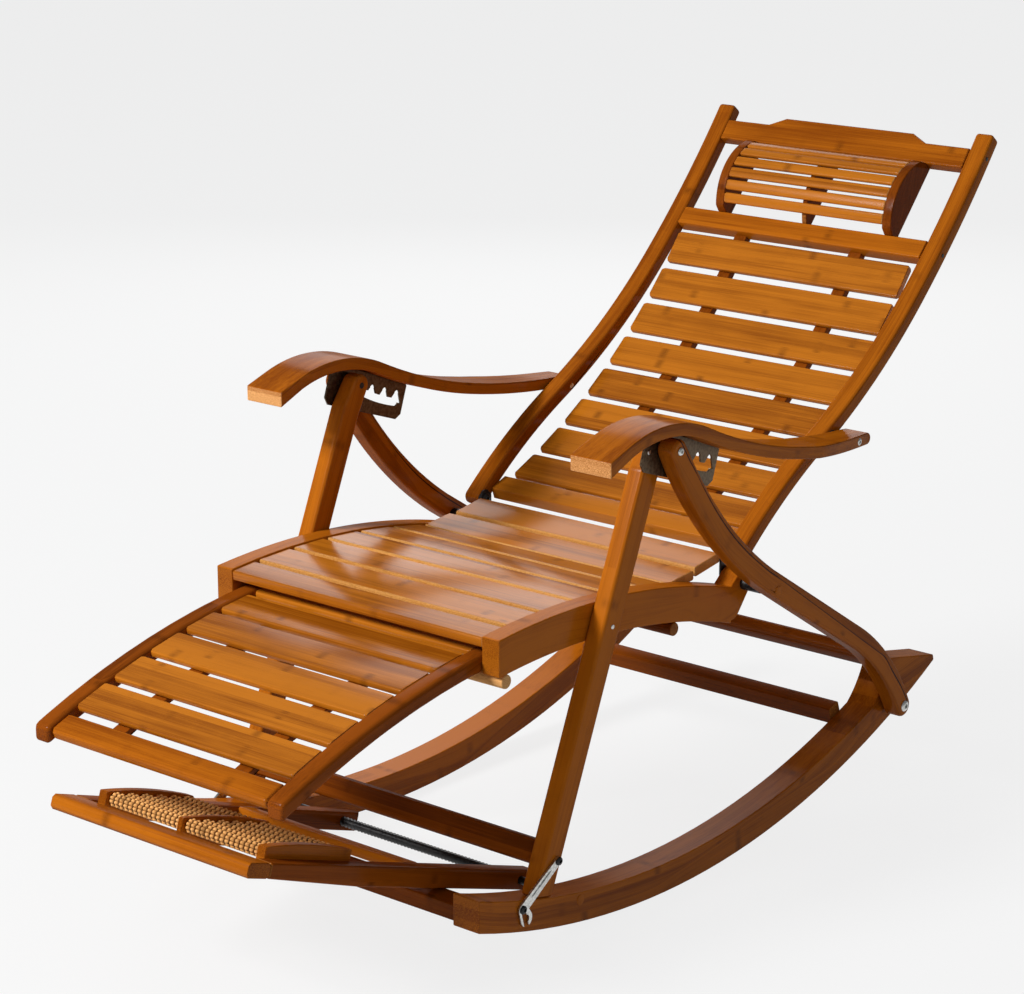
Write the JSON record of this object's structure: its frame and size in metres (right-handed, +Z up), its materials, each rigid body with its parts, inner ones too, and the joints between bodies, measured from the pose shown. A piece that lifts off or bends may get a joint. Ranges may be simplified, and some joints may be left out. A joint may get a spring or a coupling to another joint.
{
  "type": "folding rocking recliner chair",
  "caption": "Folding bamboo rocking recliner with bentwood frame, slatted seat and back, head pillow, notched armrests, sliding footrest and a roller foot massager.",
  "frame": {"origin": "on the floor under the middle of the chair's bounding box", "axes": "+Z up, the sitter faces -Y, +X is the sitter's left"},
  "size_m": [0.579, 1.3826, 0.8475],
  "materials": {
    "bamboo_board": "gloss varnish",
    "bamboo_frame": "gloss varnish",
    "roller_bamboo": "satin",
    "bronze_steel": "satin",
    "black_steel": "satin",
    "zinc_steel": "zinc plated"
  },
  "bodies": {
    "rocker_base": {"rocker_left": "bamboo_frame", "rocker_right": "bamboo_frame", "rocker_front_rail": "bamboo_frame", "rocker_rear_rail": "bamboo_frame", "latch_catch_pins": "black_steel", "base_pivot_bolts": "black_steel", "massager_pivot_rod": "black_steel"},
    "massager": {"massager_arm_left": "bamboo_frame", "massager_arm_right": "bamboo_frame", "massager_rails": "bamboo_frame", "roller_boards": "bamboo_frame", "roller_rods": "black_steel"},
    "leg_frame": {"front_leg_left": "bamboo_frame", "front_leg_right": "bamboo_frame", "front_leg_rail": "bamboo_frame", "rear_leg_left": "bamboo_frame", "rear_leg_right": "bamboo_frame", "rear_leg_rail": "bamboo_frame", "seat_rail_left": "bamboo_frame", "seat_rail_right": "bamboo_frame", "seat_slats": "bamboo_board", "seat_dowels": "bamboo_board", "footrest_guides": "bamboo_frame", "hinge_plates": "black_steel", "back_hinge_bolts": "black_steel", "leg_bolts": "black_steel", "latch_pivot_screws": "black_steel"},
    "back": {"back_stile_left": "bamboo_frame", "back_stile_right": "bamboo_frame", "crest_rail": "bamboo_board", "head_rail": "bamboo_board", "back_lower_rail": "bamboo_frame", "back_slats": "bamboo_board", "back_battens": "bamboo_frame", "pillow_ends": "bamboo_frame", "pillow_slats": "bamboo_board", "arm_pivot_bolts": "black_steel"},
    "footrest": {"footrest_rail_left": "bamboo_frame", "footrest_rail_right": "bamboo_frame", "footrest_front_rail": "bamboo_board", "footrest_slats": "bamboo_board", "footrest_battens": "bamboo_frame"},
    "armrest_left": {"armrest_left": "bamboo_frame", "notch_plate_left": "bronze_steel"},
    "latch_left": {"latch_left": "zinc_steel"},
    "armrest_right": {"armrest_right": "bamboo_frame", "notch_plate_right": "bronze_steel"},
    "latch_right": {"latch_right": "zinc_steel"},
    "roller_1_left": {"roller_1_left": "roller_bamboo"},
    "roller_1_right": {"roller_1_right": "roller_bamboo"},
    "roller_2_left": {"roller_2_left": "roller_bamboo"},
    "roller_2_right": {"roller_2_right": "roller_bamboo"},
    "roller_3_left": {"roller_3_left": "roller_bamboo"},
    "roller_3_right": {"roller_3_right": "roller_bamboo"},
    "roller_4_left": {"roller_4_left": "roller_bamboo"},
    "roller_4_right": {"roller_4_right": "roller_bamboo"},
    "roller_5_left": {"roller_5_left": "roller_bamboo"},
    "roller_5_right": {"roller_5_right": "roller_bamboo"},
    "roller_6_left": {"roller_6_left": "roller_bamboo"},
    "roller_6_right": {"roller_6_right": "roller_bamboo"}
  },
  "joints": [
    {"name": "base_swing", "type": "hinge", "parent": "rocker_base", "child": "leg_frame", "pos_m": [0, 0.4222, 0.11592], "axis": [-1, 0, 0], "range_deg": [0, 25]},
    {"name": "recline", "type": "hinge", "parent": "leg_frame", "child": "back", "pos_m": [0, 0.12105, 0.38198], "axis": [1, 0, 0], "range_deg": [0, 31]},
    {"name": "footrest_slide", "type": "hinge", "parent": "leg_frame", "child": "footrest", "pos_m": [0, -0.239, -0.75], "axis": [-1, 0, 0], "range_deg": [0, 15]},
    {"name": "massager_lift", "type": "hinge", "parent": "rocker_base", "child": "massager", "pos_m": [0, -0.232, 0.046], "axis": [-1, 0, 0], "range_deg": [0, 6]},
    {"name": "armrest_left_turn", "type": "hinge", "parent": "back", "child": "armrest_left", "pos_m": [0.248, 0.30736, 0.50175], "axis": [1, 0, 0], "range_deg": [-25, 0]},
    {"name": "latch_left_turn", "type": "hinge", "parent": "leg_frame", "child": "latch_left", "pos_m": [0.253, -0.27703, 0.111], "axis": [-1, 0, 0], "range_deg": [0, 100]},
    {"name": "armrest_right_turn", "type": "hinge", "parent": "back", "child": "armrest_right", "pos_m": [-0.248, 0.30736, 0.50175], "axis": [1, 0, 0], "range_deg": [-25, 0]},
    {"name": "latch_right_turn", "type": "hinge", "parent": "leg_frame", "child": "latch_right", "pos_m": [-0.253, -0.27703, 0.111], "axis": [-1, 0, 0], "range_deg": [0, 100]},
    {"name": "roller_1_left_spin", "type": "hinge", "parent": "massager", "child": "roller_1_left", "pos_m": [0.0625, -0.51694, 0.16153], "axis": [1, 0, 0], "continuous": true},
    {"name": "roller_1_right_spin", "type": "hinge", "parent": "massager", "child": "roller_1_right", "pos_m": [-0.0625, -0.51694, 0.16153], "axis": [1, 0, 0], "continuous": true},
    {"name": "roller_2_left_spin", "type": "hinge", "parent": "massager", "child": "roller_2_left", "pos_m": [0.0625, -0.53917, 0.16914], "axis": [1, 0, 0], "continuous": true},
    {"name": "roller_2_right_spin", "type": "hinge", "parent": "massager", "child": "roller_2_right", "pos_m": [-0.0625, -0.53917, 0.16914], "axis": [1, 0, 0], "continuous": true},
    {"name": "roller_3_left_spin", "type": "hinge", "parent": "massager", "child": "roller_3_left", "pos_m": [0.0625, -0.5614, 0.17675], "axis": [1, 0, 0], "continuous": true},
    {"name": "roller_3_right_spin", "type": "hinge", "parent": "massager", "child": "roller_3_right", "pos_m": [-0.0625, -0.5614, 0.17675], "axis": [1, 0, 0], "continuous": true},
    {"name": "roller_4_left_spin", "type": "hinge", "parent": "massager", "child": "roller_4_left", "pos_m": [0.0625, -0.58364, 0.18436], "axis": [1, 0, 0], "continuous": true},
    {"name": "roller_4_right_spin", "type": "hinge", "parent": "massager", "child": "roller_4_right", "pos_m": [-0.0625, -0.58364, 0.18436], "axis": [1, 0, 0], "continuous": true},
    {"name": "roller_5_left_spin", "type": "hinge", "parent": "massager", "child": "roller_5_left", "pos_m": [0.0625, -0.60587, 0.19197], "axis": [1, 0, 0], "continuous": true},
    {"name": "roller_5_right_spin", "type": "hinge", "parent": "massager", "child": "roller_5_right", "pos_m": [-0.0625, -0.60587, 0.19197], "axis": [1, 0, 0], "continuous": true},
    {"name": "roller_6_left_spin", "type": "hinge", "parent": "massager", "child": "roller_6_left", "pos_m": [0.0625, -0.6281, 0.19959], "axis": [1, 0, 0], "continuous": true},
    {"name": "roller_6_right_spin", "type": "hinge", "parent": "massager", "child": "roller_6_right", "pos_m": [-0.0625, -0.6281, 0.19959], "axis": [1, 0, 0], "continuous": true}
  ],
  "couplings": [
    {"joint": "armrest_left_turn", "follows": "recline", "ratio": -0.78},
    {"joint": "latch_left_turn", "follows": "base_swing", "ratio": 4},
    {"joint": "armrest_right_turn", "follows": "recline", "ratio": -0.78},
    {"joint": "latch_right_turn", "follows": "base_swing", "ratio": 4}
  ]
}
